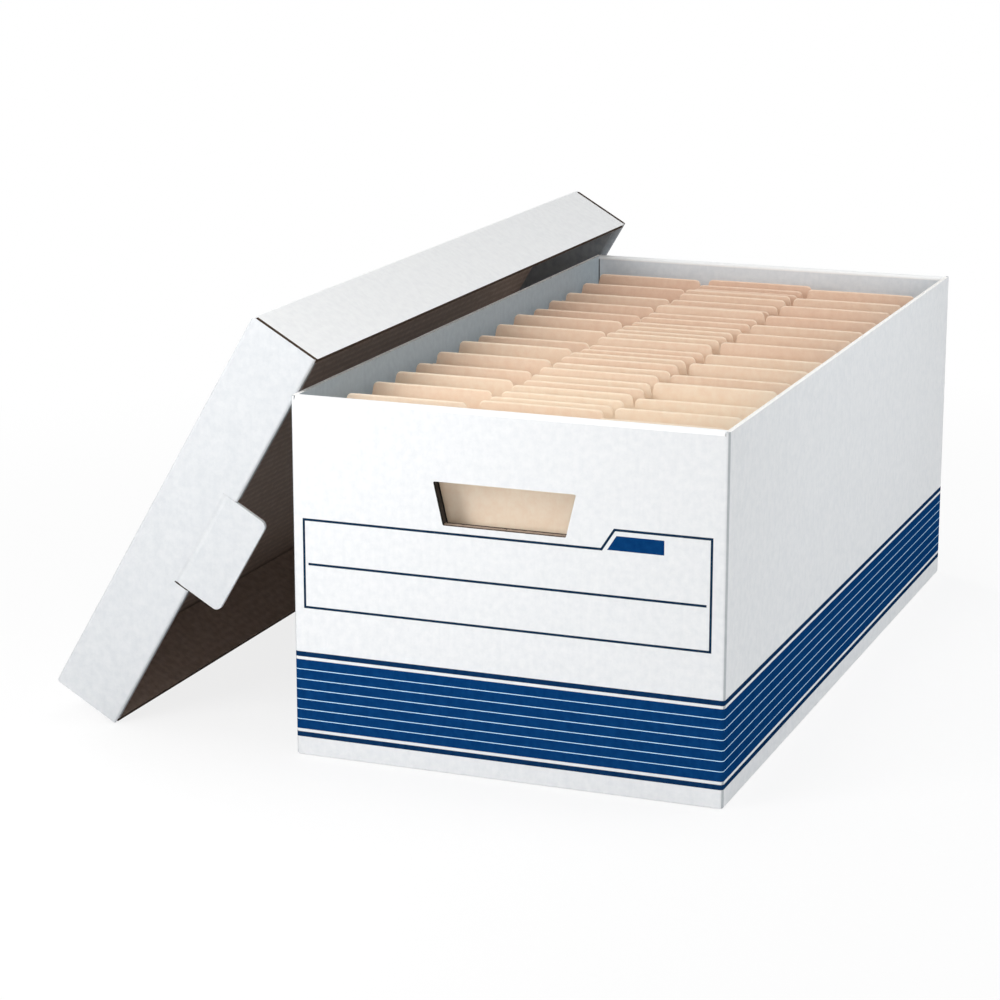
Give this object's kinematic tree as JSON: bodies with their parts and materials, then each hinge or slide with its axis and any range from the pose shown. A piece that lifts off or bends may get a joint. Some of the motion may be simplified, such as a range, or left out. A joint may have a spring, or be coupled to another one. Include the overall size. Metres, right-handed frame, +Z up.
{
  "type": "file box",
  "caption": "White corrugated file box with rolled ends, handholds and a blue striped band, its lift-off lid leaning on one side, holding tabbed manila folders that lift out.",
  "frame": {"origin": "centre of the box's underside, on the floor", "axes": "+X to the right along the front end, +Y to the back along the length, +Z up; the lid leans on the -X side"},
  "size_m": [0.508, 0.6645, 0.3061],
  "materials": {
    "white_board": "matte white liner, blue printed stripes",
    "lid_board": "matte white liner outside, brown kraft inside",
    "kraft_board": "matte brown kraft liner",
    "manila_card": "smooth matte manila card"
  },
  "bodies": {
    "box": {"left_side_panel": "white_board", "right_side_panel": "white_board", "front_end_panel": "white_board", "front_left_corner_flap": "kraft_board", "front_right_corner_flap": "kraft_board", "front_end_liner": "white_board", "rear_end_panel": "white_board", "rear_left_corner_flap": "kraft_board", "rear_right_corner_flap": "kraft_board", "rear_end_liner": "white_board", "left_bottom_flap": "kraft_board", "right_bottom_flap": "kraft_board", "front_bottom_flap": "kraft_board", "rear_bottom_flap": "kraft_board"},
    "lid": {"lid_top_panel": "lid_board", "lid_left_skirt": "lid_board", "lid_right_skirt": "lid_board", "lid_front_skirt": "lid_board", "lid_front_left_flap": "kraft_board", "lid_front_right_flap": "kraft_board", "lid_front_liner": "lid_board", "lid_rear_skirt": "lid_board", "lid_rear_left_flap": "kraft_board", "lid_rear_right_flap": "kraft_board", "lid_rear_liner": "lid_board"},
    "lid_front_tab": {"lid_front_tab": "lid_board"},
    "lid_rear_tab": {"lid_rear_tab": "lid_board"},
    "manila_pair_01": {"manila_pair_01": "manila_card"},
    "manila_pair_02": {"manila_pair_02": "manila_card"},
    "manila_pair_03": {"manila_pair_03": "manila_card"},
    "manila_pair_04": {"manila_pair_04": "manila_card"},
    "manila_pair_05": {"manila_pair_05": "manila_card"},
    "manila_pair_06": {"manila_pair_06": "manila_card"},
    "manila_pair_07": {"manila_pair_07": "manila_card"},
    "manila_pair_08": {"manila_pair_08": "manila_card"},
    "manila_pair_09": {"manila_pair_09": "manila_card"},
    "manila_pair_10": {"manila_pair_10": "manila_card"},
    "manila_pair_11": {"manila_pair_11": "manila_card"},
    "manila_pair_12": {"manila_pair_12": "manila_card"},
    "manila_pair_13": {"manila_pair_13": "manila_card"},
    "manila_pair_14": {"manila_pair_14": "manila_card"},
    "manila_pair_15": {"manila_pair_15": "manila_card"},
    "manila_pair_16": {"manila_pair_16": "manila_card"},
    "manila_pair_17": {"manila_pair_17": "manila_card"},
    "manila_pair_18": {"manila_pair_18": "manila_card"},
    "manila_pair_19": {"manila_pair_19": "manila_card"},
    "manila_pair_20": {"manila_pair_20": "manila_card"},
    "manila_pair_21": {"manila_pair_21": "manila_card"},
    "manila_pair_22": {"manila_pair_22": "manila_card"},
    "manila_pair_23": {"manila_pair_23": "manila_card"},
    "manila_pair_24": {"manila_pair_24": "manila_card"},
    "manila_pair_25": {"manila_pair_25": "manila_card"},
    "manila_pair_26": {"manila_pair_26": "manila_card"},
    "manila_pair_27": {"manila_pair_27": "manila_card"},
    "manila_pair_28": {"manila_pair_28": "manila_card"}
  },
  "joints": [
    {"name": "lid_lift", "type": "slide", "parent": "box", "child": "lid", "axis": [0, 0, 1], "range_m": [0, 0.3]},
    {"name": "lid_front_tab_fold", "type": "hinge", "parent": "lid", "child": "lid_front_tab", "pos_m": [-0.23389, -0.2999, 0.14529], "axis": [0.506, 0, 0.8625], "range_deg": [0, 80]},
    {"name": "lid_rear_tab_fold", "type": "hinge", "parent": "lid", "child": "lid_rear_tab", "pos_m": [-0.23389, 0.3457, 0.14529], "axis": [-0.506, 0, -0.8625], "range_deg": [0, 80]},
    {"name": "manila_pair_01_lift", "type": "slide", "parent": "box", "child": "manila_pair_01", "axis": [0, 0, 1], "range_m": [0, 0.26]},
    {"name": "manila_pair_02_lift", "type": "slide", "parent": "box", "child": "manila_pair_02", "axis": [0, 0, 1], "range_m": [0, 0.26]},
    {"name": "manila_pair_03_lift", "type": "slide", "parent": "box", "child": "manila_pair_03", "axis": [0, 0, 1], "range_m": [0, 0.26]},
    {"name": "manila_pair_04_lift", "type": "slide", "parent": "box", "child": "manila_pair_04", "axis": [0, 0, 1], "range_m": [0, 0.26]},
    {"name": "manila_pair_05_lift", "type": "slide", "parent": "box", "child": "manila_pair_05", "axis": [0, 0, 1], "range_m": [0, 0.26]},
    {"name": "manila_pair_06_lift", "type": "slide", "parent": "box", "child": "manila_pair_06", "axis": [0, 0, 1], "range_m": [0, 0.26]},
    {"name": "manila_pair_07_lift", "type": "slide", "parent": "box", "child": "manila_pair_07", "axis": [0, 0, 1], "range_m": [0, 0.26]},
    {"name": "manila_pair_08_lift", "type": "slide", "parent": "box", "child": "manila_pair_08", "axis": [0, 0, 1], "range_m": [0, 0.26]},
    {"name": "manila_pair_09_lift", "type": "slide", "parent": "box", "child": "manila_pair_09", "axis": [0, 0, 1], "range_m": [0, 0.26]},
    {"name": "manila_pair_10_lift", "type": "slide", "parent": "box", "child": "manila_pair_10", "axis": [0, 0, 1], "range_m": [0, 0.26]},
    {"name": "manila_pair_11_lift", "type": "slide", "parent": "box", "child": "manila_pair_11", "axis": [0, 0, 1], "range_m": [0, 0.26]},
    {"name": "manila_pair_12_lift", "type": "slide", "parent": "box", "child": "manila_pair_12", "axis": [0, 0, 1], "range_m": [0, 0.26]},
    {"name": "manila_pair_13_lift", "type": "slide", "parent": "box", "child": "manila_pair_13", "axis": [0, 0, 1], "range_m": [0, 0.26]},
    {"name": "manila_pair_14_lift", "type": "slide", "parent": "box", "child": "manila_pair_14", "axis": [0, 0, 1], "range_m": [0, 0.26]},
    {"name": "manila_pair_15_lift", "type": "slide", "parent": "box", "child": "manila_pair_15", "axis": [0, 0, 1], "range_m": [0, 0.26]},
    {"name": "manila_pair_16_lift", "type": "slide", "parent": "box", "child": "manila_pair_16", "axis": [0, 0, 1], "range_m": [0, 0.26]},
    {"name": "manila_pair_17_lift", "type": "slide", "parent": "box", "child": "manila_pair_17", "axis": [0, 0, 1], "range_m": [0, 0.26]},
    {"name": "manila_pair_18_lift", "type": "slide", "parent": "box", "child": "manila_pair_18", "axis": [0, 0, 1], "range_m": [0, 0.26]},
    {"name": "manila_pair_19_lift", "type": "slide", "parent": "box", "child": "manila_pair_19", "axis": [0, 0, 1], "range_m": [0, 0.26]},
    {"name": "manila_pair_20_lift", "type": "slide", "parent": "box", "child": "manila_pair_20", "axis": [0, 0, 1], "range_m": [0, 0.26]},
    {"name": "manila_pair_21_lift", "type": "slide", "parent": "box", "child": "manila_pair_21", "axis": [0, 0, 1], "range_m": [0, 0.26]},
    {"name": "manila_pair_22_lift", "type": "slide", "parent": "box", "child": "manila_pair_22", "axis": [0, 0, 1], "range_m": [0, 0.26]},
    {"name": "manila_pair_23_lift", "type": "slide", "parent": "box", "child": "manila_pair_23", "axis": [0, 0, 1], "range_m": [0, 0.26]},
    {"name": "manila_pair_24_lift", "type": "slide", "parent": "box", "child": "manila_pair_24", "axis": [0, 0, 1], "range_m": [0, 0.26]},
    {"name": "manila_pair_25_lift", "type": "slide", "parent": "box", "child": "manila_pair_25", "axis": [0, 0, 1], "range_m": [0, 0.26]},
    {"name": "manila_pair_26_lift", "type": "slide", "parent": "box", "child": "manila_pair_26", "axis": [0, 0, 1], "range_m": [0, 0.26]},
    {"name": "manila_pair_27_lift", "type": "slide", "parent": "box", "child": "manila_pair_27", "axis": [0, 0, 1], "range_m": [0, 0.26]},
    {"name": "manila_pair_28_lift", "type": "slide", "parent": "box", "child": "manila_pair_28", "axis": [0, 0, 1], "range_m": [0, 0.26]}
  ]
}
